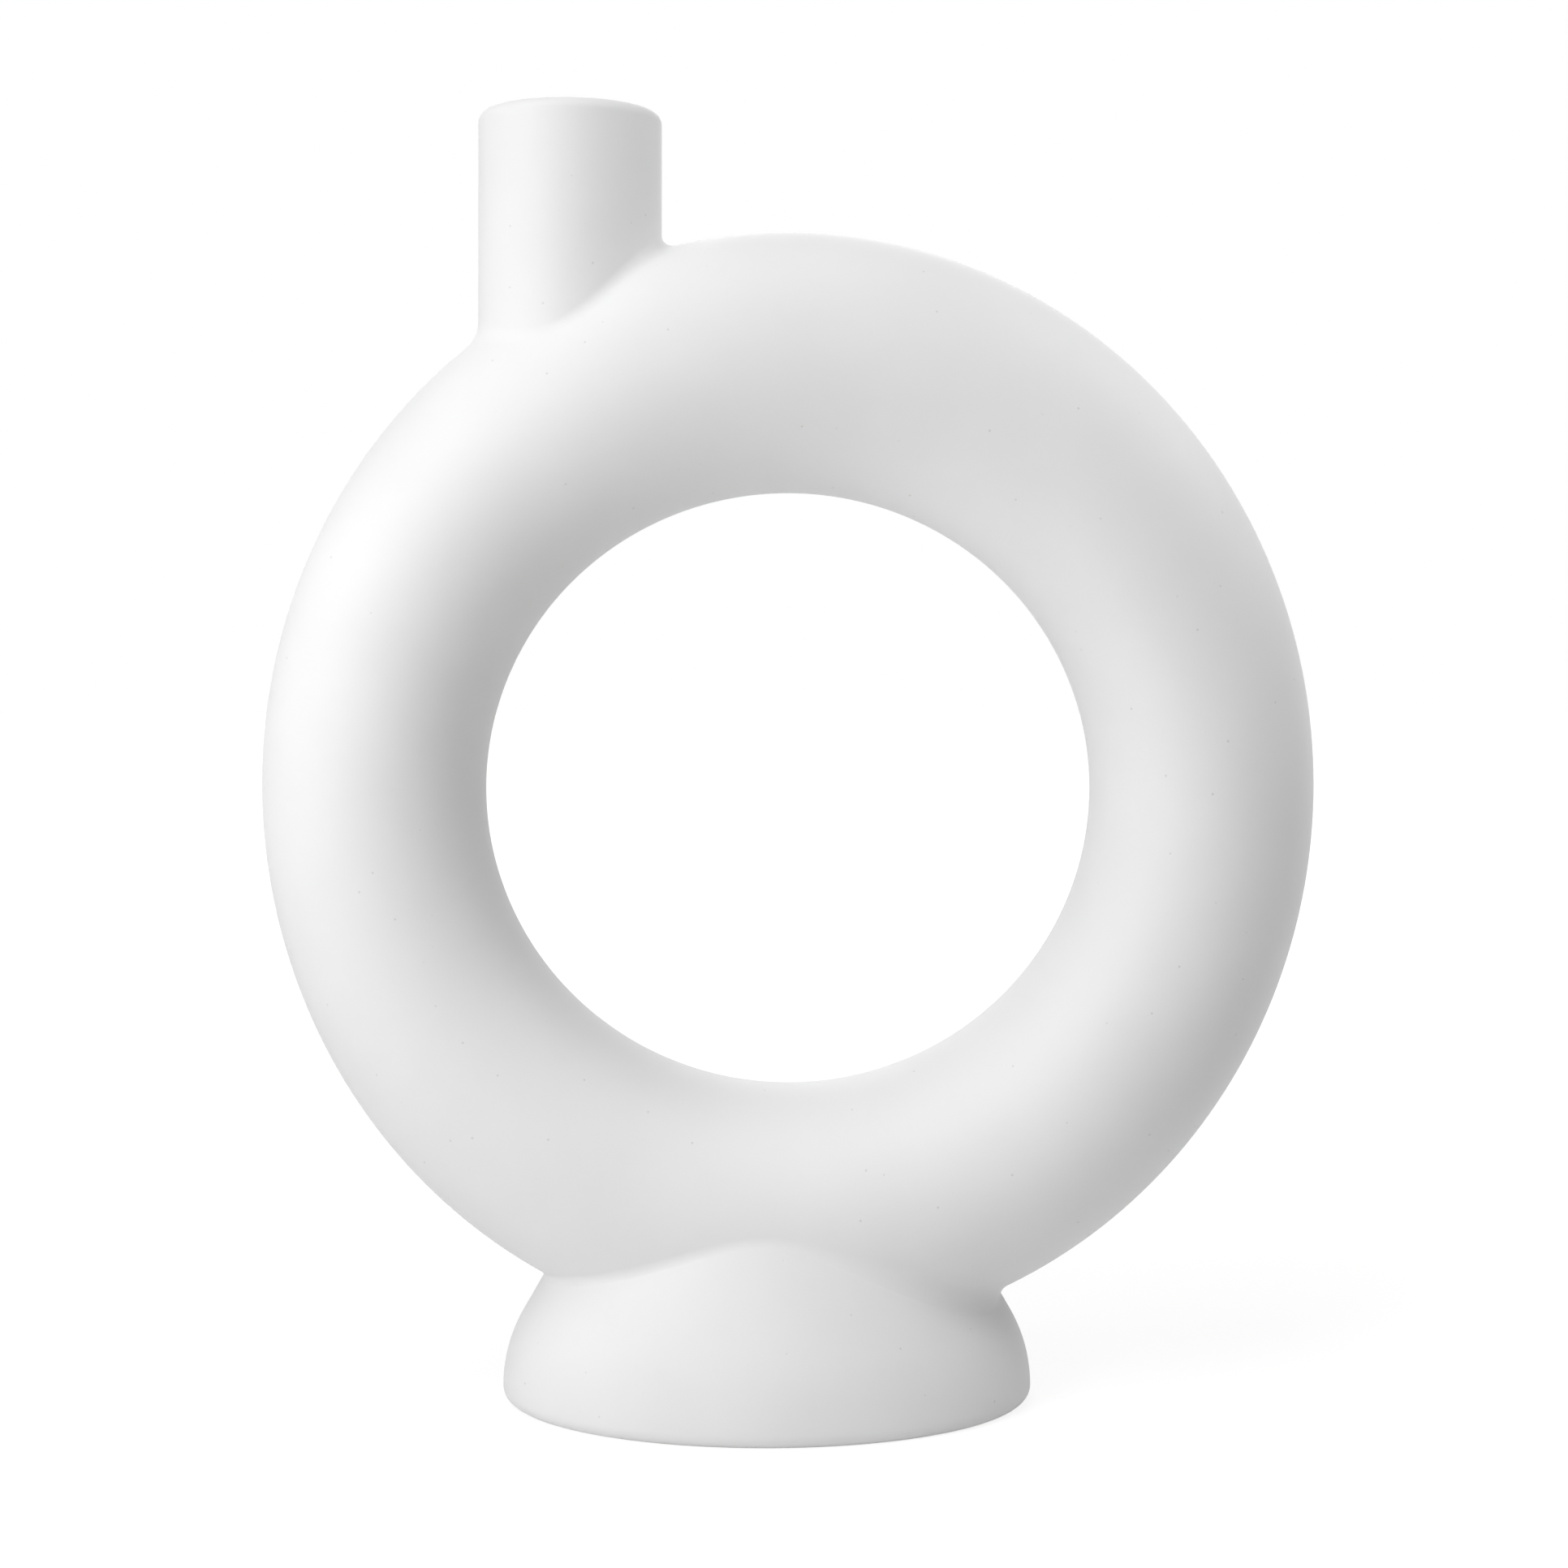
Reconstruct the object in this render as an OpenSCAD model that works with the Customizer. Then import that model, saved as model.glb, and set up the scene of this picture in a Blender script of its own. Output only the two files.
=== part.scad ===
// Donut vase in matt white ceramic: a hollow upright ring on an oval foot, with a round neck
// rising from its left shoulder. Millimetres, +Z up, front towards -Y. The origin lies on the
// table, under the middle of the ring.

/* [Ring] */
// Outer width of the ring
ring_w = 200; // [160:1:260]
// Outer height of the ring
ring_h = 209.8; // [170:0.2:270]
// Thickness of the ring from front to back
ring_d = 45.6; // [42:0.2:60]
// Width of the hole through the ring
hole_w = 115.6; // [90:0.1:130]
// Height of the hole through the ring
hole_h = 113; // [90:0.1:128]
// How far the middle of the hole lies below the middle of the ring
hole_drop = 1.3; // [0:0.1:3]
// Thickness of the ring's wall
ring_wall = 4.5; // [3:0.1:7]
// Height of the ring's lowest point above the table
ring_lift = 12; // [8:0.1:18]

/* [Neck] */
// Outer diameter of the neck
neck_d = 35; // [26:0.5:40]
// Thickness of the neck's wall, whose lip is a full half round
neck_wall = 4.5; // [3:0.1:7]
// Distance of the neck's axis from the middle of the ring, to the left
neck_offset = 41.6; // [25:0.2:55]
// Height of the lip above the top of the ring
neck_rise = 23; // [12:0.5:60]

/* [Foot] */
// Greatest width of the foot, left to right
foot_w = 100.4; // [80:0.2:116]
// Greatest depth of the foot, front to back
foot_d = 64; // [58:0.2:66]
// Distance of the foot's middle from the middle of the ring, to the left
foot_offset = 4; // [0:0.5:10]
// Thickness of the foot's wall
foot_wall = 5; // [3:0.1:7]
// Radius that rounds the foot's lower edge
foot_edge_r = 2.5; // [1:0.1:5]
// Radius of the belly above that edge, seen from the front
foot_belly_r = 27; // [20:0.5:32]
// Lean of the foot's upper wall from the vertical, seen from the front
foot_lean = 30; // [20:0.5:32]

/* [Luting coils] */
// Hollow radius of the neck's coil on the side of the ring's middle
neck_coil_near_r = 2.2; // [1.2:0.1:4]
// Hollow radius of the neck's coil on the far side, where the ring falls away
neck_coil_far_r = 6.5; // [1.2:0.1:8]
// Hollow radius of the foot's coil at its left and right ends
foot_coil_side_r = 1.3; // [0.8:0.1:3]
// Hollow radius of the foot's coil at the front and the back
foot_coil_front_r = 5.5; // [2:0.1:8]
// How much wider than that the coil is made towards its right end, and narrower towards its left
foot_coil_skew = 3.3; // [1:0.1:4]
// Depth to which a coil is keyed into the scored clay behind it
coil_key = 0.6; // [0.3:0.05:1.2]

/* [Hidden] */
$fn = 96;
clay = [0.94, 0.94, 0.93];
ring_steps = 72;
outer_steps = 16;
inner_steps = 10;
coil_steps = 72;
coil_arc_steps = 5;
lip_steps = 12;
edge_steps = 6;
belly_steps = 6;
halvings = 24;
overrun = 1;
probe = 0.01;
// Part of the tube's half height by which the foot's blank rises above the tube's middle
foot_top_share = 0.25;

step_angle = 360 / ring_steps;
ring_z = ring_lift + ring_h / 2;
neck_x = -neck_offset;
foot_x = -foot_offset;
neck_r = neck_d / 2;
lip_r = neck_wall / 2;
bore_r = neck_r - neck_wall;
top_z = ring_z + ring_h / 2 + neck_rise;

// Height at which the neck's axis meets the middle of the tube, and the foot's uppermost height
neck_root_z = ring_z + sqrt(pow(mid_r(90), 2) - pow(neck_offset, 2));
foot_top_z = ring_z - mid_r(-90) + half_r(-90) * foot_top_share;

// The foot from the front: where its edge starts, where its belly ends, and its flattening
foot_edge_x = foot_w / 2 - foot_edge_r;
foot_belly_top_x = foot_w / 2 - foot_belly_r * (1 - cos(foot_lean));
foot_belly_top_z = foot_edge_r + foot_belly_r * sin(foot_lean);
foot_flat = foot_d / foot_w;
foot_lean_y = atan(tan(foot_lean) * foot_flat);
// How fast the foot's coil widens away from its two ends
foot_coil_swell = 1.4;

// Outline of an ellipse, as the distance from its middle at an angle
function ellipse_r(w, h, a) = w * h / norm([h * cos(a), w * sin(a)]) / 2;

// The ring seen from the front: its outer edge, its hole, and the middle of the tube between them
function outer_r(a) = ellipse_r(ring_w, ring_h, a);
function inner_r(a) = ellipse_r(hole_w, hole_h, a) - hole_drop * sin(a);
function mid_r(a) = (outer_r(a) + inner_r(a)) / 2;
function half_r(a) = (outer_r(a) - inner_r(a)) / 2;

// Point of the tube's surface grown by some distance: a goes round the ring, b round the tube from
// the outer edge over the front to the hole and back behind
function tube_point(a, b, grow) =
    let(r = mid_r(a) + (half_r(a) + grow) * cos(b))
    [r * cos(a), -(ring_d / 2 + grow) * sin(b), ring_z + r * sin(a)];

// Below zero inside the grown tube, zero on its surface, above zero outside
function tube_side(p, grow) =
    let(
        x = p[0],
        z = p[2] - ring_z,
        a = atan2(z, x),
        across = (norm([x, z]) - mid_r(a)) / (half_r(a) + grow),
        along = p[1] / (ring_d / 2 + grow)
    )
    across * across + along * along - 1;

// Half width of the foot's straight upper wall at a height
function foot_x_at(z) = foot_belly_top_x - (z - foot_belly_top_z) * tan(foot_lean);

// Half width and half depth of that wall grown by some distance
function foot_oval(z, grow) =
    [foot_x_at(z) + grow / cos(foot_lean), foot_x_at(z) * foot_flat + grow / cos(foot_lean_y)];

// Below zero inside the grown wall, zero on its surface, above zero outside
function foot_side(p, grow) =
    let(oval = foot_oval(p[2], grow))
    pow((p[0] - foot_x) / oval[0], 2) + pow(p[1] / oval[1], 2) - 1;

// Direction in which a field grows fastest at a point
function unit(v) = v / norm(v);
function slope(field, p) =
    unit([for (k = [0 : 2])
        let(step = [for (m = [0 : 2]) m == k ? probe : 0])
        field(p + step) - field(p - step)]);

// Height between low and high at which a field changes its sign
function level(field, low, high, left = halvings) =
    let(middle = (low + high) / 2)
    left == 0 ? middle
    : field(middle) > 0 == field(low) > 0 ? level(field, middle, high, left - 1)
    : level(field, low, middle, left - 1);

// Triangles between the rows of a grid of points. Rows have the same length, and the last column
// joins the first. A looped grid joins its last row to its first, an open one has two end faces.
function grid_faces(rows, columns, looped) = concat(
    [for (i = [0 : rows - (looped ? 1 : 2)], j = [0 : columns - 1])
        let(
            k = (i + 1) % rows,
            n = (j + 1) % columns,
            p = i * columns + j,
            q = i * columns + n,
            s = k * columns + n,
            t = k * columns + j
        )
        each [[p, q, s], [p, s, t]]],
    looped ? [] : [
        [for (j = [columns - 1 : -1 : 0]) j],
        [for (j = [0 : columns - 1]) (rows - 1) * columns + j]
    ]);

module grid(rows, looped) {
    polyhedron([for (row = rows) each row], grid_faces(len(rows), len(rows[0]), looped));
}

// Solid tube between two stations of the ring, with the same facets as the shells
module tube_piece(first, last) {
    grid([for (i = [first : last])
        [for (j = [0 : 2 * outer_steps - 1]) tube_point(i * step_angle, j * 180 / outer_steps, 0)]], false);
}

// Half shell of the ring: start is the side of the tube where its outer face begins
module ring_shell(start) {
    grid([for (i = [0 : ring_steps - 1])
        let(a = i * step_angle)
        concat(
            [for (j = [0 : outer_steps]) tube_point(a, start + j * 180 / outer_steps, 0)],
            [for (j = [inner_steps : -1 : 0]) tube_point(a, start + j * 180 / inner_steps, -ring_wall)]
        )], true);
}

// Hole through the ring's shoulder, as wide as the neck's bore
module stem_hole() {
    translate([neck_x, 0, neck_root_z]) cylinder(r = bore_r, h = top_z - neck_root_z);
}

module ring_front_half() {
    color(clay) difference() {
        ring_shell(0);
        stem_hole();
    }
}

module ring_back_half() {
    color(clay) difference() {
        ring_shell(180);
        stem_hole();
    }
}

// Neck: outer wall, half-round lip and bore in one turned profile, coped to the ring's shoulder
module neck() {
    reach = atan2(neck_offset + neck_r, neck_root_z - ring_z);
    color(clay) difference() {
        translate([neck_x, 0, 0]) rotate_extrude() polygon(concat(
            [[bore_r, neck_root_z], [neck_r, neck_root_z]],
            [for (k = [0 : lip_steps])
                let(a = k * 180 / lip_steps)
                [neck_r - lip_r + lip_r * cos(a), top_z - lip_r + lip_r * sin(a)]]
        ));
        tube_piece(floor(90 / step_angle), ceil((90 + reach) / step_angle) + 1);
    }
}

// Outline of the foot from its axis outwards, moved in by some distance. The inner one runs past
// the table, to cut the foot open below.
function foot_profile(inset) =
    let(low = inset > 0 ? -overrun : 0)
    concat(
        [[0, low], [foot_edge_x - inset, low]],
        [for (k = [1 : edge_steps])
            let(a = k * 90 / edge_steps)
            [foot_edge_x + foot_edge_r * sin(a) - inset, foot_edge_r * (1 - cos(a))]],
        [for (k = [1 : belly_steps])
            let(a = k * foot_lean / belly_steps)
            [foot_w / 2 - foot_belly_r * (1 - cos(a)) - inset, foot_edge_r + foot_belly_r * sin(a)]],
        [[foot_x_at(foot_top_z) - inset, foot_top_z], [0, foot_top_z]]
    );

// The outline turned round the foot's axis in four quarters and flattened from front to back
module foot_turned(inset) {
    flat = (foot_d / 2 - inset) / (foot_w / 2 - inset);
    translate([foot_x, 0, 0]) for (quarter = [0 : 3])
        scale([1, flat, 1]) rotate(quarter * 90) rotate_extrude(angle = 90) polygon(foot_profile(inset));
}

// Foot: an oval collar, open below, coped to the underside of the ring
module foot() {
    reach = atan2(foot_offset + foot_w / 2, ring_z - foot_top_z);
    color(clay) difference() {
        foot_turned(0);
        foot_turned(foot_wall);
        tube_piece(floor((-90 - reach) / step_angle) - 1, ceil((-90 + reach) / step_angle) + 1);
    }
}

// Section of a coil at one place round a joint. A ball of radius r at centre touches both pieces,
// whose outward directions are v and w. The arc between the two touching points is the hollow
// face, and the coil is keyed into the clay behind the corner.
function coil_section(centre, r, v, w) =
    let(turn = acos(v * w))
    concat(
        [for (k = [0 : coil_arc_steps])
            let(share = k / coil_arc_steps)
            centre - r * (v * sin(turn * (1 - share)) + w * sin(turn * share)) / sin(turn)],
        [centre - (r + coil_key) * (v + w) / (1 + v * w)]
    );

// Hollow radii of the two coils at an angle round their joints
function neck_coil_r(a) =
    (neck_coil_near_r + neck_coil_far_r) / 2 + (neck_coil_near_r - neck_coil_far_r) / 2 * cos(a);
function foot_coil_r(a) =
    let(widening = (foot_coil_front_r - foot_coil_side_r) * pow(abs(sin(a)), foot_coil_swell))
    foot_coil_side_r + widening * pow(foot_coil_skew, cos(a));

// Coil round the neck: the ball rolls down beside the wall until it meets the ring
module neck_luting_coil() {
    color(clay) grid([for (i = [0 : coil_steps - 1])
        let(
            a = i * 360 / coil_steps,
            r = neck_coil_r(a),
            out = [cos(a), sin(a), 0],
            beside = [neck_x, 0, 0] + out * (neck_r + r),
            z = level(function(z) tube_side(beside + [0, 0, z], r), neck_root_z, top_z),
            centre = beside + [0, 0, z]
        )
        coil_section(centre, r, slope(function(p) tube_side(p, r), centre), out)], true);
}

// Coil round the foot: the ball rolls up along the leaning wall until it meets the ring. It is
// smallest at the two ends, and larger where the joint is more open.
module foot_luting_coil() {
    color(clay) grid([for (i = [0 : coil_steps - 1])
        let(
            a = i * 360 / coil_steps,
            r = foot_coil_r(a),
            beside = function(z) [foot_x + foot_oval(z, r)[0] * cos(a), foot_oval(z, r)[1] * sin(a), z],
            centre = beside(level(function(z) tube_side(beside(z), r), foot_belly_top_z, foot_top_z))
        )
        coil_section(centre, r,
            slope(function(p) foot_side(p, r), centre),
            slope(function(p) tube_side(p, r), centre))], true);
}

ring_front_half();
ring_back_half();
neck();
foot();
neck_luting_coil();
foot_luting_coil();
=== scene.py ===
# %% [markdown]
# # A donut vase in matt white stoneware
# The vase is an upright hollow ring on a low oval foot, with a straight round neck on its left
# shoulder. The CAD model fixes every size. This script builds the same clay body with finer,
# rounder surfaces, glazes it, and sets it in a plain studio.

# %% Load the CAD frame
import math

import bmesh
import bpy
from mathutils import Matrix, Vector


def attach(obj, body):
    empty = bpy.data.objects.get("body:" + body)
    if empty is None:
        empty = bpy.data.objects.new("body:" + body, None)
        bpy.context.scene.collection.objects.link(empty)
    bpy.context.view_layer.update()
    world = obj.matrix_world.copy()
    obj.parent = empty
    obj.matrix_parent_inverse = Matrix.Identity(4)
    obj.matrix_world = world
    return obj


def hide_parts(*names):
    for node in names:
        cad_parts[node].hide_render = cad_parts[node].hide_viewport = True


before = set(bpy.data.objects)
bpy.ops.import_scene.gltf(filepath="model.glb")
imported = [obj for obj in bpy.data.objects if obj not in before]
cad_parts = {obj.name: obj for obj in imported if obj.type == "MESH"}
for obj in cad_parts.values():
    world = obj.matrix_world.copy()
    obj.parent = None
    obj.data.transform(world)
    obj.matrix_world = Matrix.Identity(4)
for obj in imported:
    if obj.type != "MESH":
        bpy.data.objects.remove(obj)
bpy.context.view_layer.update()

# %% [markdown]
# ## Sizes of the real vase
# A potter would note these few sizes on a sketch. Everything below is worked out from them, so a
# piece meets its neighbour without any fitting by eye. They are in metres, as Blender's units are.

# %% Sizes
MM = 0.001
RING_WIDTH, RING_HEIGHT, RING_DEPTH = 200 * MM, 209.8 * MM, 45.6 * MM
HOLE_WIDTH, HOLE_HEIGHT, HOLE_DROP = 115.6 * MM, 113 * MM, 1.3 * MM
RING_WALL, RING_LIFT = 4.5 * MM, 12 * MM
NECK_RADIUS, NECK_WALL = 17.5 * MM, 4.5 * MM
NECK_X, NECK_RISE = -41.6 * MM, 23 * MM
FOOT_WIDTH, FOOT_DEPTH, FOOT_X, FOOT_WALL = 100.4 * MM, 64 * MM, -4 * MM, 5 * MM
FOOT_EDGE, FOOT_BELLY, FOOT_LEAN = 2.5 * MM, 27 * MM, math.radians(30)
NECK_COIL_NEAR, NECK_COIL_FAR = 2.2 * MM, 6.5 * MM
FOOT_COIL_SIDE, FOOT_COIL_FRONT, FOOT_COIL_SKEW, FOOT_COIL_SWELL = 1.3 * MM, 5.5 * MM, 3.3, 1.4
COIL_KEY = 0.6 * MM

RING_Z = RING_LIFT + RING_HEIGHT / 2
LIP_Z = RING_Z + RING_HEIGHT / 2 + NECK_RISE
BORE_RADIUS = NECK_RADIUS - NECK_WALL
print("middle of the ring at", round(RING_Z / MM, 1), "mm, lip at", round(LIP_Z / MM, 1), "mm")

# %% [markdown]
# ## The ring's form
# Seen from the front, the ring lies between two ellipses: its outer edge, and a hole that sits a
# little low. Seen along the tube, its section is an oval too. One function gives the point of the
# tube for two angles, round the ring and round the tube. A second one says how far any point lies
# outside the tube, which the joints need later.

# %% The tube as a formula
def ellipse_radius(width, height, angle):
    return width * height / math.hypot(height * math.cos(angle), width * math.sin(angle)) / 2


def tube_at(around):
    """Middle and half width of the tube, seen from the front, at an angle round the ring."""
    outer = ellipse_radius(RING_WIDTH, RING_HEIGHT, around)
    inner = ellipse_radius(HOLE_WIDTH, HOLE_HEIGHT, around) - HOLE_DROP * math.sin(around)
    return (outer + inner) / 2, (outer - inner) / 2


def tube_point(around, across, grow=0.0):
    middle, half = tube_at(around)
    reach = middle + (half + grow) * math.cos(across)
    depth = (RING_DEPTH / 2 + grow) * math.sin(across)
    return Vector((reach * math.cos(around), -depth, RING_Z + reach * math.sin(around)))


def tube_side(point, grow=0.0):
    """Below zero inside the grown tube, zero on it, above zero outside."""
    x, z = point.x, point.z - RING_Z
    middle, half = tube_at(math.atan2(z, x))
    across = (math.hypot(x, z) - middle) / (half + grow)
    return across ** 2 + (point.y / (RING_DEPTH / 2 + grow)) ** 2 - 1


print("the tube is", round(2 * tube_at(0)[1] / MM, 1), "mm wide at the sides and",
      round(2 * tube_at(math.pi / 2)[1] / MM, 1), "mm at the top")

# %% [markdown]
# ## Helpers
# Operators act on whatever is selected, so each step first says what it works on. A boolean leaves
# doubled corners and may turn faces round, so a cut piece is merged and its faces are pointed
# outwards again. Edges that turn by less than the sharp angle are shaded smooth.

# %% Selection and finishing helpers
def pick(*pieces):
    bpy.ops.object.select_all(action="DESELECT")
    for piece in pieces:
        piece.select_set(True)
    bpy.context.view_layer.objects.active = pieces[-1]


def new_piece(name):
    piece = bpy.context.object
    piece.name = piece.data.name = name
    return piece


def apply_modifier(piece, kind, **settings):
    modifier = piece.modifiers.new(kind.lower(), kind)
    for key, value in settings.items():
        setattr(modifier, key, value)
    pick(piece)
    bpy.ops.object.modifier_apply(modifier=modifier.name)


def cut_away(piece, cutter):
    apply_modifier(piece, "BOOLEAN", operation="DIFFERENCE", solver="EXACT", object=cutter)
    bpy.data.objects.remove(cutter)


SHARP_ANGLE = 40
MERGE_DISTANCE = 0.0005 * MM


def shade_smooth(piece, sharp_angle=SHARP_ANGLE):
    pick(piece)
    bpy.ops.object.shade_smooth_by_angle(angle=math.radians(sharp_angle))


def tidy_mesh(piece, sharp_angle=SHARP_ANGLE):
    pick(piece)
    bpy.ops.object.mode_set(mode="EDIT")
    bpy.ops.mesh.select_all(action="SELECT")
    bpy.ops.mesh.remove_doubles(threshold=MERGE_DISTANCE)
    bpy.ops.mesh.normals_make_consistent(inside=False)
    bpy.ops.object.mode_set(mode="OBJECT")
    shade_smooth(piece, sharp_angle)


def report(piece):
    mesh = piece.data
    mesh.calc_loop_triangles()
    grid = bmesh.new()
    grid.from_mesh(mesh)
    open_edges = sum(not edge.is_manifold for edge in grid.edges)
    volume = grid.calc_volume(signed=True)
    grid.free()
    print(f"{piece.name}: {len(mesh.loop_triangles)} triangles, {open_edges} open edges,",
          round(volume / MM ** 3), "mm3 of clay")


print("edges that turn by less than", SHARP_ANGLE, "degrees will be shaded smooth")

# %% [markdown]
# ## The ring
# The real ring is pressed in two half moulds and luted along its rim, and the seam is sponged away
# before the glaze. A torus primitive gives even rows of faces round the tube. Each of its corners
# is then moved to the same two angles on the real form, which turns the plain torus into the flat
# oval tube. A second, smaller tube turned inside out is the hollow.

# %% Ring
TORUS_REACH, TORUS_TUBE = 79 * MM, 22 * MM
RING_STEPS, TUBE_STEPS = 256, 128


def press_tube(name, steps_around=RING_STEPS, steps_across=TUBE_STEPS, grow=0.0):
    bpy.ops.mesh.primitive_torus_add(major_segments=steps_around, minor_segments=steps_across,
                                     major_radius=TORUS_REACH, minor_radius=TORUS_TUBE)
    tube = new_piece(name)
    for vertex in tube.data.vertices:
        x, y, z = vertex.co
        around, across = math.atan2(y, x), math.atan2(z, math.hypot(x, y) - TORUS_REACH)
        vertex.co = tube_point(around, across, grow)
    return tube


ring = press_tube("glazed_ring")
hollow = press_tube("hollow", RING_STEPS // 2, TUBE_STEPS // 2, -RING_WALL)
pick(hollow)
bpy.ops.object.mode_set(mode="EDIT")
bpy.ops.mesh.select_all(action="SELECT")
bpy.ops.mesh.flip_normals()
bpy.ops.object.mode_set(mode="OBJECT")
pick(hollow, ring)
bpy.ops.object.join()
print("ring and hollow joined:", len(ring.data.vertices), "corners")

# %% [markdown]
# ## The way for water and stems
# The neck opens into the ring, so a hole as wide as its bore is cut through the shoulder. A potter
# cuts it with a hollow punch before the neck is luted on. Here a cylinder is the punch. It ends in
# the middle of the tube, so the ring's floor stays whole.

# %% Hole under the neck
BORE_STEPS = 128
hole_low = RING_Z + math.sqrt(tube_at(math.pi / 2)[0] ** 2 - NECK_X ** 2)
bpy.ops.mesh.primitive_cylinder_add(vertices=BORE_STEPS, radius=BORE_RADIUS,
                                    depth=LIP_Z - hole_low,
                                    location=(NECK_X, 0, (LIP_Z + hole_low) / 2))
cut_away(ring, new_piece("stem_hole"))
shade_smooth(ring)
report(ring)

# %% [markdown]
# ## Turned pieces
# The neck is thrown on the wheel and the foot is a collar of clay. Both are built as a potter
# raises a wall: a circle is laid down and extruded ring by ring, each ring with its own half
# width, half depth and height. The last ring is bridged to the first, which closes the wall.

# %% Raising a wall ring by ring
def arc(centre_x, centre_z, radius, start, end, steps):
    """Points of an arc in the section, as (distance from the axis, height)."""
    turns = [math.radians(start + (end - start) * k / steps) for k in range(steps + 1)]
    return [(centre_x + radius * math.cos(t), centre_z + radius * math.sin(t)) for t in turns]


def raise_wall(name, centre_x, rings, segments):
    wide, deep, height = rings[0]
    bpy.ops.mesh.primitive_circle_add(vertices=segments, radius=1, location=(0, 0, 0))
    wall = new_piece(name)
    bpy.ops.object.mode_set(mode="EDIT")
    bpy.ops.mesh.select_all(action="SELECT")
    bpy.ops.transform.resize(value=(wide, deep, 1), center_override=(0, 0, 0))
    bpy.ops.transform.translate(value=(0, 0, height))
    for ring_wide, ring_deep, ring_height in rings[1:]:
        bpy.ops.mesh.extrude_edges_move()
        bpy.ops.transform.resize(value=(ring_wide / wide, ring_deep / deep, 1),
                                 center_override=(0, 0, 0))
        bpy.ops.transform.translate(value=(0, 0, ring_height - height))
        wide, deep, height = ring_wide, ring_deep, ring_height
    bpy.ops.mesh.select_all(action="DESELECT")
    bpy.ops.mesh.select_non_manifold()
    bpy.ops.mesh.bridge_edge_loops()
    bpy.ops.mesh.select_all(action="SELECT")
    bpy.ops.transform.translate(value=(centre_x, 0, 0))
    bpy.ops.object.mode_set(mode="OBJECT")
    print(name, "raised from", len(rings), "rings of", segments, "corners")
    return wall


# %% [markdown]
# ## The neck
# Its wall ends in a lip that is a full half round. The lip is an arc of rings, with one close ring
# on each side of it, so the straight wall keeps its flat shading right up to the arc. The lower
# end is coped: the ring's own tube is cut out of it, and it sits on the shoulder like a saddle.

# %% Neck
LIP_RADIUS = NECK_WALL / 2
CLOSE = 0.1 * MM
NECK_STEPS, LIP_STEPS = 192, 28
lip_start = LIP_Z - LIP_RADIUS
section = ([(NECK_RADIUS, hole_low), (NECK_RADIUS, lip_start - CLOSE)]
           + arc(NECK_RADIUS - LIP_RADIUS, lip_start, LIP_RADIUS, 0, 180, LIP_STEPS)
           + [(BORE_RADIUS, lip_start - CLOSE), (BORE_RADIUS, hole_low)])
neck = raise_wall("glazed_neck", NECK_X, [(x, x, z) for x, z in section], NECK_STEPS)
cut_away(neck, press_tube("saddle"))
tidy_mesh(neck)
report(neck)

# %% [markdown]
# ## The foot
# The foot is an oval collar: it stands on a narrow flat rim, rounds out over a small edge into a
# low belly, then leans in to meet the underside of the ring. It is open below, where the belly of
# the ring shows. Its section is drawn once, and each ring of it is flattened from front to back.
# The wall is raised a little past the middle of the tube, and the tube is then cut out of it.

# %% The foot's outline
RAISED_PAST_MIDDLE = 0.25
half_wide = FOOT_WIDTH / 2
belly_top_x = half_wide - FOOT_BELLY * (1 - math.cos(FOOT_LEAN))
belly_top_z = FOOT_EDGE + FOOT_BELLY * math.sin(FOOT_LEAN)
foot_middle, foot_half = tube_at(-math.pi / 2)
foot_top_z = RING_Z - foot_middle + foot_half * RAISED_PAST_MIDDLE


def foot_wall_x(z):
    """Half width of the foot's straight upper wall at a height."""
    return belly_top_x - (z - belly_top_z) * math.tan(FOOT_LEAN)


OUTSIDE_STEPS, UPPER_STEPS, INSIDE_STEPS, RIM_STEPS = 14, 18, 8, 6
lean_degrees = math.degrees(FOOT_LEAN)
upper = [belly_top_z + (foot_top_z - belly_top_z) * k / UPPER_STEPS
         for k in range(1, UPPER_STEPS + 1)]
outside = ([(half_wide - FOOT_EDGE - CLOSE, 0)]
           + arc(half_wide - FOOT_EDGE, FOOT_EDGE, FOOT_EDGE, -90, 0, OUTSIDE_STEPS)
           + arc(half_wide - FOOT_BELLY, FOOT_EDGE, FOOT_BELLY, 0, lean_degrees, OUTSIDE_STEPS)[1:]
           + [(foot_wall_x(z), z) for z in upper])
print("the foot's outside has", len(outside), "rings, up to", round(foot_top_z / MM, 1), "mm")

# %% [markdown]
# ## The foot's inside
# The potter's finger follows the outside at an even distance and rounds the rim's inner edge, so
# the inside is the same outline moved in by the wall. It can only be seen from below, so it gets
# fewer rings.

# %% Foot
RIM_ROUND = 1 * MM
INNER_BELLY_END = 4
inner_x = half_wide - FOOT_EDGE - FOOT_WALL
inside = ([(foot_wall_x(z) - FOOT_WALL, z) for z in (foot_top_z, (foot_top_z + belly_top_z) / 2)]
          + arc(half_wide - FOOT_BELLY - FOOT_WALL, FOOT_EDGE, FOOT_BELLY,
                lean_degrees, INNER_BELLY_END, INSIDE_STEPS)
          + arc(inner_x + RIM_ROUND, RIM_ROUND, RIM_ROUND, 180, 270, RIM_STEPS)
          + [(inner_x + RIM_ROUND + CLOSE, 0)])
outer_flat = FOOT_DEPTH / FOOT_WIDTH
inner_flat = (FOOT_DEPTH / 2 - FOOT_WALL) / (half_wide - FOOT_WALL)
rings = [(x, x * inner_flat, z) for x, z in inside] + [(x, x * outer_flat, z) for x, z in outside]
FOOT_STEPS = 224
foot = raise_wall("glazed_foot", FOOT_X, rings, FOOT_STEPS)
cut_away(foot, press_tube("saddle"))
tidy_mesh(foot)
report(foot)

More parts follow.
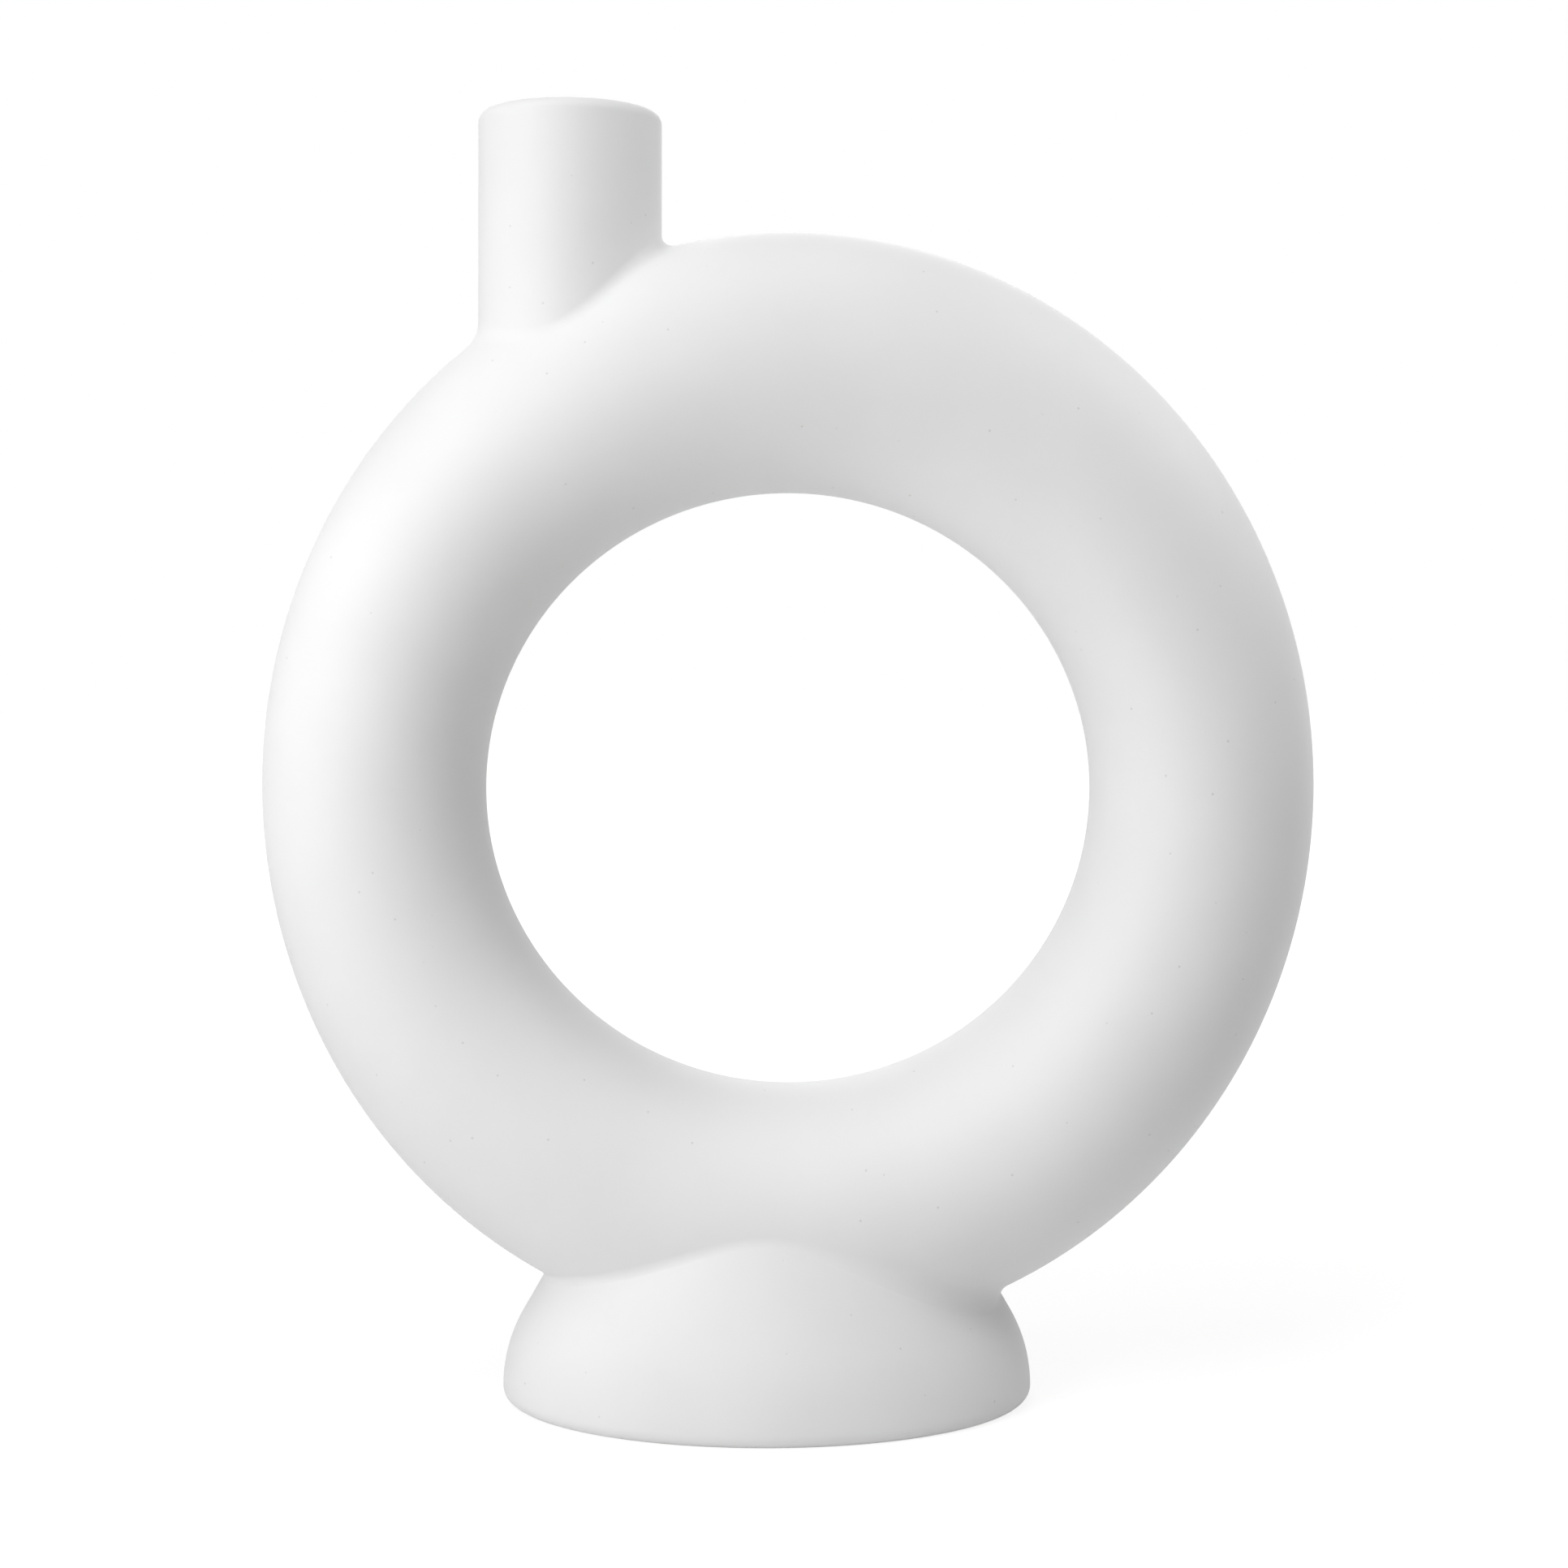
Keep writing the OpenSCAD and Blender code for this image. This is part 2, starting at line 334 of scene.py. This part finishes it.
# %% [markdown]
# ## Luting coils
# A thin coil of soft clay is pressed into each joint and wiped with a fingertip, which leaves a
# hollow curve that runs smoothly into both pieces. A fingertip is a ball: wherever it touches both
# pieces at once, the clay keeps its round. So each coil starts as a torus, and every section of it
# is moved to the place where a ball of the right size rests in the corner. The foot's joint opens
# wide at the front and the back, and the ball grows there.

# %% Where a ball rests
SMALL_STEP = 0.01 * MM
HALVINGS = 40


def slope(side, point):
    """Direction in which a side function grows fastest."""
    gaps = [side(point + SMALL_STEP * axis) - side(point - SMALL_STEP * axis)
            for axis in (Vector((1, 0, 0)), Vector((0, 1, 0)), Vector((0, 0, 1)))]
    return Vector(gaps).normalized()


def level(side, low, high):
    """Height between low and high at which a side function changes its sign."""
    starts_outside = side(low) > 0
    for _ in range(HALVINGS):
        middle = (low + high) / 2
        if (side(middle) > 0) == starts_outside:
            low = middle
        else:
            high = middle
    return (low + high) / 2


print("the tube's lowest point is at",
      round(level(lambda z: tube_side(Vector((0, 0, z))), 0, RING_Z - foot_middle) / MM, 2), "mm")

# %% [markdown]
# ## Pressing a coil into its joint
# A section of the coil is a hollow arc that touches both pieces, closed by a back that is keyed
# into the clay behind, as a real coil bites into the scored joint. Its rows crowd together towards
# both edges, where it runs out. It is lifted by a hundredth of a millimetre, so that its edges lie
# just over the pieces and not in them. A torus has the right rows of faces all round, so none is
# made by hand.

# %% Pressing a coil into its joint
ARC_STEPS, BACK_STEPS = 36, 4
COIL_LIFT = 0.01 * MM
COIL_SHARP_ANGLE = 30


def coil_section(ball, radius, first, second):
    """Hollow arc between the two touching points, then the back, keyed into the clay behind."""
    turn = first.angle(second)
    bent = radius - COIL_LIFT
    section = []
    for k in range(ARC_STEPS + 1):
        share = (k / ARC_STEPS) ** 2 * (3 - 2 * k / ARC_STEPS)
        lean = first * math.sin(turn * (1 - share)) + second * math.sin(turn * share)
        section.append(ball - lean * bent / math.sin(turn))
    corner = ball - (radius + COIL_KEY) * (first + second) / (1 + first.dot(second))
    section.append(section[-1].lerp(corner, 0.5))
    section.append(corner)
    section.append(section[0].lerp(corner, 0.5))
    return section


def press_coil(name, stations, place_section):
    per_section = ARC_STEPS + BACK_STEPS
    bpy.ops.mesh.primitive_torus_add(major_segments=stations, minor_segments=per_section,
                                     major_radius=TORUS_REACH, minor_radius=TORUS_TUBE)
    coil = new_piece(name)
    sections = {}
    for vertex in coil.data.vertices:
        x, y, z = vertex.co
        station = round(math.atan2(y, x) / math.tau * stations) % stations
        place = round(math.atan2(z, math.hypot(x, y) - TORUS_REACH) / math.tau * per_section)
        if station not in sections:
            sections[station] = place_section(station / stations * math.tau)
        vertex.co = sections[station][place % per_section]
    tidy_mesh(coil, COIL_SHARP_ANGLE)
    report(coil)
    return coil


print("a coil's section has", ARC_STEPS + BACK_STEPS, "corners")

# %% [markdown]
# ## The neck's coil
# The neck stands on a slope. On its right it meets the shoulder in a tight corner, and on its left
# the shoulder falls away and leaves an open one. The fingertip that wipes the joint leans into the
# open side, so the ball's radius grows evenly from right to left.

# %% Coil round the neck
NECK_COIL_STATIONS = 256


def neck_section(around):
    radius = ((NECK_COIL_NEAR + NECK_COIL_FAR)
              + (NECK_COIL_NEAR - NECK_COIL_FAR) * math.cos(around)) / 2
    out = Vector((math.cos(around), math.sin(around), 0))
    beside = Vector((NECK_X, 0, 0)) + out * (NECK_RADIUS + radius)
    height = level(lambda z: tube_side(beside + Vector((0, 0, z)), radius), hole_low, LIP_Z)
    ball = beside + Vector((0, 0, height))
    return coil_section(ball, radius, slope(lambda p: tube_side(p, radius), ball), out)


neck_coil = press_coil("glazed_neck_joint", NECK_COIL_STATIONS, neck_section)

# %% [markdown]
# ## The foot's coil
# The foot's joint is tight at its two ends, under the ring's edge, and opens wide at the front and
# the back. In the photograph it is wider again on the right half, so the radius also grows that
# way. The ball rests between the ring's tube and the foot's leaning oval wall.

# %% Coil round the foot
FOOT_COIL_STATIONS = 288


def foot_oval(z, grow):
    """Half width and half depth of the foot's upper wall, grown by some distance."""
    deep_lean = math.atan(math.tan(FOOT_LEAN) * outer_flat)
    return (foot_wall_x(z) + grow / math.cos(FOOT_LEAN),
            foot_wall_x(z) * outer_flat + grow / math.cos(deep_lean))


def foot_side(point, grow):
    wide, deep = foot_oval(point.z, grow)
    return ((point.x - FOOT_X) / wide) ** 2 + (point.y / deep) ** 2 - 1


def foot_section(around):
    widening = (FOOT_COIL_FRONT - FOOT_COIL_SIDE) * abs(math.sin(around)) ** FOOT_COIL_SWELL
    radius = FOOT_COIL_SIDE + widening * FOOT_COIL_SKEW ** math.cos(around)

    def beside(z):
        wide, deep = foot_oval(z, radius)
        return Vector((FOOT_X + wide * math.cos(around), deep * math.sin(around), z))

    ball = beside(level(lambda z: tube_side(beside(z), radius), belly_top_z, foot_top_z))
    return coil_section(ball, radius, slope(lambda p: foot_side(p, radius), ball),
                        slope(lambda p: tube_side(p, radius), ball))


foot_coil = press_coil("glazed_foot_joint", FOOT_COIL_STATIONS, foot_section)

# %% [markdown]
# ## Materials
# A colour is written as the hex value a paint chart would give. Blender's shaders work with
# linear light, so one function turns the value over. One more function adds a node, with its
# settings and its links.

# %% Colour and node helpers
def linear(hex_colour):
    channels = [int(hex_colour[k:k + 2], 16) / 255 for k in (1, 3, 5)]
    return [c / 12.92 if c <= 0.04045 else ((c + 0.055) / 1.055) ** 2.4 for c in channels] + [1]


def add_node(tree, kind, settings=None, **inputs):
    """Adds a node. Each input is a value, or a pair of a node and the name of its output."""
    node = tree.nodes.new(kind)
    for key, value in (settings or {}).items():
        setattr(node, key, value)
    for key, value in inputs.items():
        socket = node.inputs[key.replace("_", " ")]
        if isinstance(value, tuple) and isinstance(value[0], bpy.types.Node):
            tree.links.new(value[0].outputs[value[1]], socket)
        else:
            socket.default_value = value
    return node


print("the lightest glaze in linear light:", [round(v, 3) for v in linear("#EDEDED")[:3]])

# %% [markdown]
# ## Matt white glaze
# The stoneware is dipped in a matt white glaze. Fine crystals in it scatter the light, so the eye
# finds no sharp gleam on it, only a soft sheen at grazing angles. Three things keep it from looking
# like plastic: the tone drifts a little where the glaze ran thicker, a fine grain breaks up the
# sheen, and a few tiny specks of iron burn through. Every pattern reads object coordinates, which
# are the same for all the pieces, so it runs on over the joints as the glaze does. The foot stands
# on a rim that was wiped bare before the firing: plain, rougher and a little warmer clay.
#
# A dipped glaze drains in soft runs a few centimetres wide, so the drift is 38 mm. The crystals are
# about 0.1 mm wide, which is too fine to show, so the grain is drawn at 0.9 mm. A speck fades out
# 0.28 mm from the middle of its cell, so it is about 0.5 mm wide, and cells of 5 mm leave one on
# each 2 to 3 square centimetres.

# %% Sizes of the patterns
DRIFT_SIZE, GRAIN_SIZE, SPECK_CELL = 38 * MM, 0.9 * MM, 5 * MM
SPECK_CORE, SPECK_FADE = 0.03, 0.055
NOISE_LOW, NOISE_HIGH = 0.3, 0.7
GRAIN_STRENGTH = 0.25


def patch(size):
    """Texture scale that makes features of about this size in metres."""
    return 1 / size


print("a speck is about", round(2 * SPECK_FADE * SPECK_CELL / MM, 2), "mm wide")

# %% Glaze and bare clay
def make_ceramic(name, thick, thin, speck, smoothest, roughest, grain_depth):
    material = bpy.data.materials.new(name)
    material.use_nodes = True
    tree = material.node_tree
    shader = tree.nodes["Principled BSDF"]
    spot = (add_node(tree, "ShaderNodeTexCoord"), "Object")
    drift = add_node(tree, "ShaderNodeTexNoise", Vector=spot, Scale=patch(DRIFT_SIZE), Detail=2.0)
    ran = add_node(tree, "ShaderNodeMapRange", Value=(drift, "Fac"),
                   From_Min=NOISE_LOW, From_Max=NOISE_HIGH)
    tone = add_node(tree, "ShaderNodeMix", {"data_type": "RGBA"}, Factor=(ran, "Result"))
    tone.inputs["A"].default_value = linear(thick)
    tone.inputs["B"].default_value = linear(thin)
    cells = add_node(tree, "ShaderNodeTexVoronoi", Vector=spot, Scale=patch(SPECK_CELL))
    burn = add_node(tree, "ShaderNodeMapRange", Value=(cells, "Distance"),
                    From_Min=SPECK_CORE, From_Max=SPECK_FADE, To_Min=1.0, To_Max=0.0)
    colour = add_node(tree, "ShaderNodeMix", {"data_type": "RGBA"}, Factor=(burn, "Result"))
    tree.links.new(tone.outputs["Result"], colour.inputs["A"])
    colour.inputs["B"].default_value = linear(speck)
    tree.links.new(colour.outputs["Result"], shader.inputs["Base Color"])
    grain = add_node(tree, "ShaderNodeTexNoise", Vector=spot, Scale=patch(GRAIN_SIZE), Detail=3.0)
    sheen = add_node(tree, "ShaderNodeMapRange", Value=(grain, "Fac"),
                     From_Min=NOISE_LOW, From_Max=NOISE_HIGH, To_Min=smoothest, To_Max=roughest)
    tree.links.new(sheen.outputs["Result"], shader.inputs["Roughness"])
    bump = add_node(tree, "ShaderNodeBump", Strength=GRAIN_STRENGTH, Distance=grain_depth,
                    Height=(grain, "Fac"))
    tree.links.new(bump.outputs["Normal"], shader.inputs["Normal"])
    print("finish made:", name)
    return material


glaze = make_ceramic("matt_white_glaze", thick="#EDEDED", thin="#E8E8E8", speck="#DAD8D6",
                     smoothest=0.56, roughest=0.68, grain_depth=0.02 * MM)
bare = make_ceramic("bare_stoneware", thick="#DDD9D1", thin="#D2CDC3", speck="#A79F93",
                    smoothest=0.85, roughest=0.95, grain_depth=0.08 * MM)

# %% [markdown]
# ## Which piece takes which finish
# One dip in the glaze covers all the pieces, so they all take it. Each one stands for its CAD node
# and rides on the one body. Only the faces that touch the table are bare clay.

# %% Which piece takes which finish
BARE_BELOW = 0.15 * MM
for piece, slot_name, nodes in (
        (ring, "ring_ceramic", ("ring_front_half", "ring_back_half")),
        (neck, "neck_ceramic", ("neck",)),
        (foot, "foot_ceramic", ("foot",)),
        (neck_coil, "luting_ceramic", ("neck_luting_coil",)),
        (foot_coil, "luting_ceramic", ("foot_luting_coil",))):
    piece.data.materials.clear()
    piece.data.materials.append(glaze)
    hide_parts(*nodes)
    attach(piece, "root")
foot.data.materials.append(bare)
rim_faces = [face for face in foot.data.polygons if face.center.z < BARE_BELOW]
for face in rim_faces:
    face.material_index = 1
print(len(rim_faces), "faces of the foot's rim are bare")

# %% [markdown]
# ## Studio
# The vase stands on a pale floor in a white studio. Camera rays, and the rays that a gleam sends
# out, see the world as plain white. The light that the world really gives is set apart from that,
# because white all round would wash the form out. The floor glows a little for the camera, and
# more with distance, so that it ends in the same white, and it still shows the vase's shadow.

# %% What the camera and the gleams see
def seen(tree):
    """A node that is 1 for camera, glossy and transmission rays, and 0 for all others."""
    ray = add_node(tree, "ShaderNodeLightPath")
    first = add_node(tree, "ShaderNodeMath", {"operation": "MAXIMUM"})
    tree.links.new(ray.outputs["Is Camera Ray"], first.inputs[0])
    tree.links.new(ray.outputs["Is Glossy Ray"], first.inputs[1])
    both = add_node(tree, "ShaderNodeMath", {"operation": "MAXIMUM"})
    tree.links.new(first.outputs[0], both.inputs[0])
    tree.links.new(ray.outputs["Is Transmission Ray"], both.inputs[1])
    return both


AMBIENT, PLAIN_WHITE = 0.1, 1.0
world = bpy.data.worlds.new("white_studio")
bpy.context.scene.world = world
world.use_nodes = True
sky = world.node_tree
backdrop = add_node(sky, "ShaderNodeMapRange", {"name": "ambient"}, Value=(seen(sky), "Value"),
                    To_Min=AMBIENT, To_Max=PLAIN_WHITE)
sky.nodes["Background"].inputs["Color"].default_value = (1, 1, 1, 1)
sky.links.new(backdrop.outputs["Result"], sky.nodes["Background"].inputs["Strength"])
print("the world lights the vase at", AMBIENT, "and looks", PLAIN_WHITE)

# %% [markdown]
# ## Floor
# To the light the floor is a plain pale grey, which sends a soft glow up under the ring. To the
# camera it is a darker shade plus a glow of its own. The two add up to about white where the lamps
# reach it, and where the vase hides them, the missing light shows as a soft shadow. The glow
# reaches full white a little way out, so the floor's far edge can't be seen.

# %% Floor
FLOOR_SIZE = 6
FLOOR_SHADE, FLOOR_GLOW, FAR_GLOW = 0.22, 0.84, 1.05
FADE_START, FADE_END = 0.12, 0.7
bpy.ops.object.select_all(action="DESELECT")
bpy.ops.mesh.primitive_plane_add(size=FLOOR_SIZE, location=(0, 0, 0))
floor = new_piece("studio_floor")
paint = bpy.data.materials.new("pale_studio_floor")
paint.use_nodes = True
tree = paint.node_tree
shader = tree.nodes["Principled BSDF"]
looks = seen(tree)
tone = add_node(tree, "ShaderNodeMix", {"data_type": "RGBA"}, Factor=(looks, "Value"))
tone.inputs["A"].default_value = linear("#E8E8E8")
tone.inputs["B"].default_value = (FLOOR_SHADE, FLOOR_SHADE, FLOOR_SHADE, 1)
tree.links.new(tone.outputs["Result"], shader.inputs["Base Color"])
shader.inputs["Roughness"].default_value = 0.9
shader.inputs["Specular IOR Level"].default_value = 0.0
place = add_node(tree, "ShaderNodeTexCoord")
away = add_node(tree, "ShaderNodeVectorMath", {"operation": "LENGTH"})
tree.links.new(place.outputs["Object"], away.inputs[0])
fade = add_node(tree, "ShaderNodeMapRange", {"interpolation_type": "SMOOTHSTEP"},
                Value=(away, "Value"), From_Min=FADE_START, From_Max=FADE_END,
                To_Min=FLOOR_GLOW, To_Max=FAR_GLOW)
glow = add_node(tree, "ShaderNodeMath", {"operation": "MULTIPLY"})
tree.links.new(fade.outputs["Result"], glow.inputs[0])
tree.links.new(looks.outputs["Value"], glow.inputs[1])
shader.inputs["Emission Color"].default_value = (1, 1, 1, 1)
tree.links.new(glow.outputs["Value"], shader.inputs["Emission Strength"])
floor.data.materials.append(paint)
print("the floor is", FLOOR_SIZE, "m wide and is plain white from", FADE_END, "m out")

# %% [markdown]
# ## Lamps
# Five soft boxes light the vase. Two stand close, one at the front left and one at the right side:
# a near lamp gives the round tube a light band that moves over as the tube turns, and a slow fall
# into shade. A wide one high up and a small one further off fill the front, and one behind keeps
# the back from going dull. Each is placed by its direction, as on a dial round the vase, by its
# height angle and by its distance.

# %% Lamps
AIM = Vector((0, 0, 0.12))
for title, dial, rise, distance, box_side, watts in (
        ("near_left_lamp", -45, 16, 0.4, 0.33, 0.69),
        ("near_right_lamp", 90, 40, 0.4, 0.3, 0.67),
        ("high_lamp", -40, 65, 1.3, 0.8, 6.45),
        ("front_lamp", -40, 25, 1.3, 0.3, 2.6),
        ("back_lamp", 180, 25, 1.3, 0.8, 5)):
    turn, tilt = math.radians(dial), math.radians(rise)
    towards = Vector((math.sin(turn) * math.cos(tilt), -math.cos(turn) * math.cos(tilt),
                      math.sin(tilt)))
    bpy.ops.object.light_add(type="AREA", location=AIM + towards * distance)
    lamp = bpy.context.object
    lamp.name = title
    lamp.data.energy = watts
    lamp.data.size = box_side
    lamp.visible_camera = False
    lamp.rotation_mode = "QUATERNION"
    lamp.rotation_quaternion = towards.to_track_quat("Z", "Y")
    print(title, "stands at", tuple(round(v, 2) for v in lamp.location))

# %% [markdown]
# ## Camera
# The photograph was taken from straight in front, from a little above the middle of the ring. Its
# distance and lens were worked out from how much the rim and the base curve. The lens is shifted
# down, as on a studio camera, so that upright lines stay upright, and a very small tilt does the
# rest.

# %% Camera
PHOTO_SIDE, FOCAL_PIXELS = 1932, 3063.7
SENSOR_WIDTH = 36
CAMERA_PLACE = (-0.73 * MM, -475.6 * MM, 150.5 * MM)
CAMERA_TILT, LENS_SHIFT, NEAREST_SEEN = 90.235, -0.12, 0.01
camera_data = bpy.data.cameras.new("camera")
camera = bpy.data.objects.new("camera", camera_data)
bpy.context.scene.collection.objects.link(camera)
camera_data.sensor_width = SENSOR_WIDTH
camera_data.lens = FOCAL_PIXELS / PHOTO_SIDE * SENSOR_WIDTH
camera_data.shift_y = LENS_SHIFT
camera_data.clip_start = NEAREST_SEEN
camera.location = CAMERA_PLACE
camera.rotation_euler = (math.radians(CAMERA_TILT), 0, 0)
bpy.context.scene.camera = camera
bpy.context.scene.view_settings.view_transform = "Standard"
print("the lens is", round(camera_data.lens, 1), "mm long")
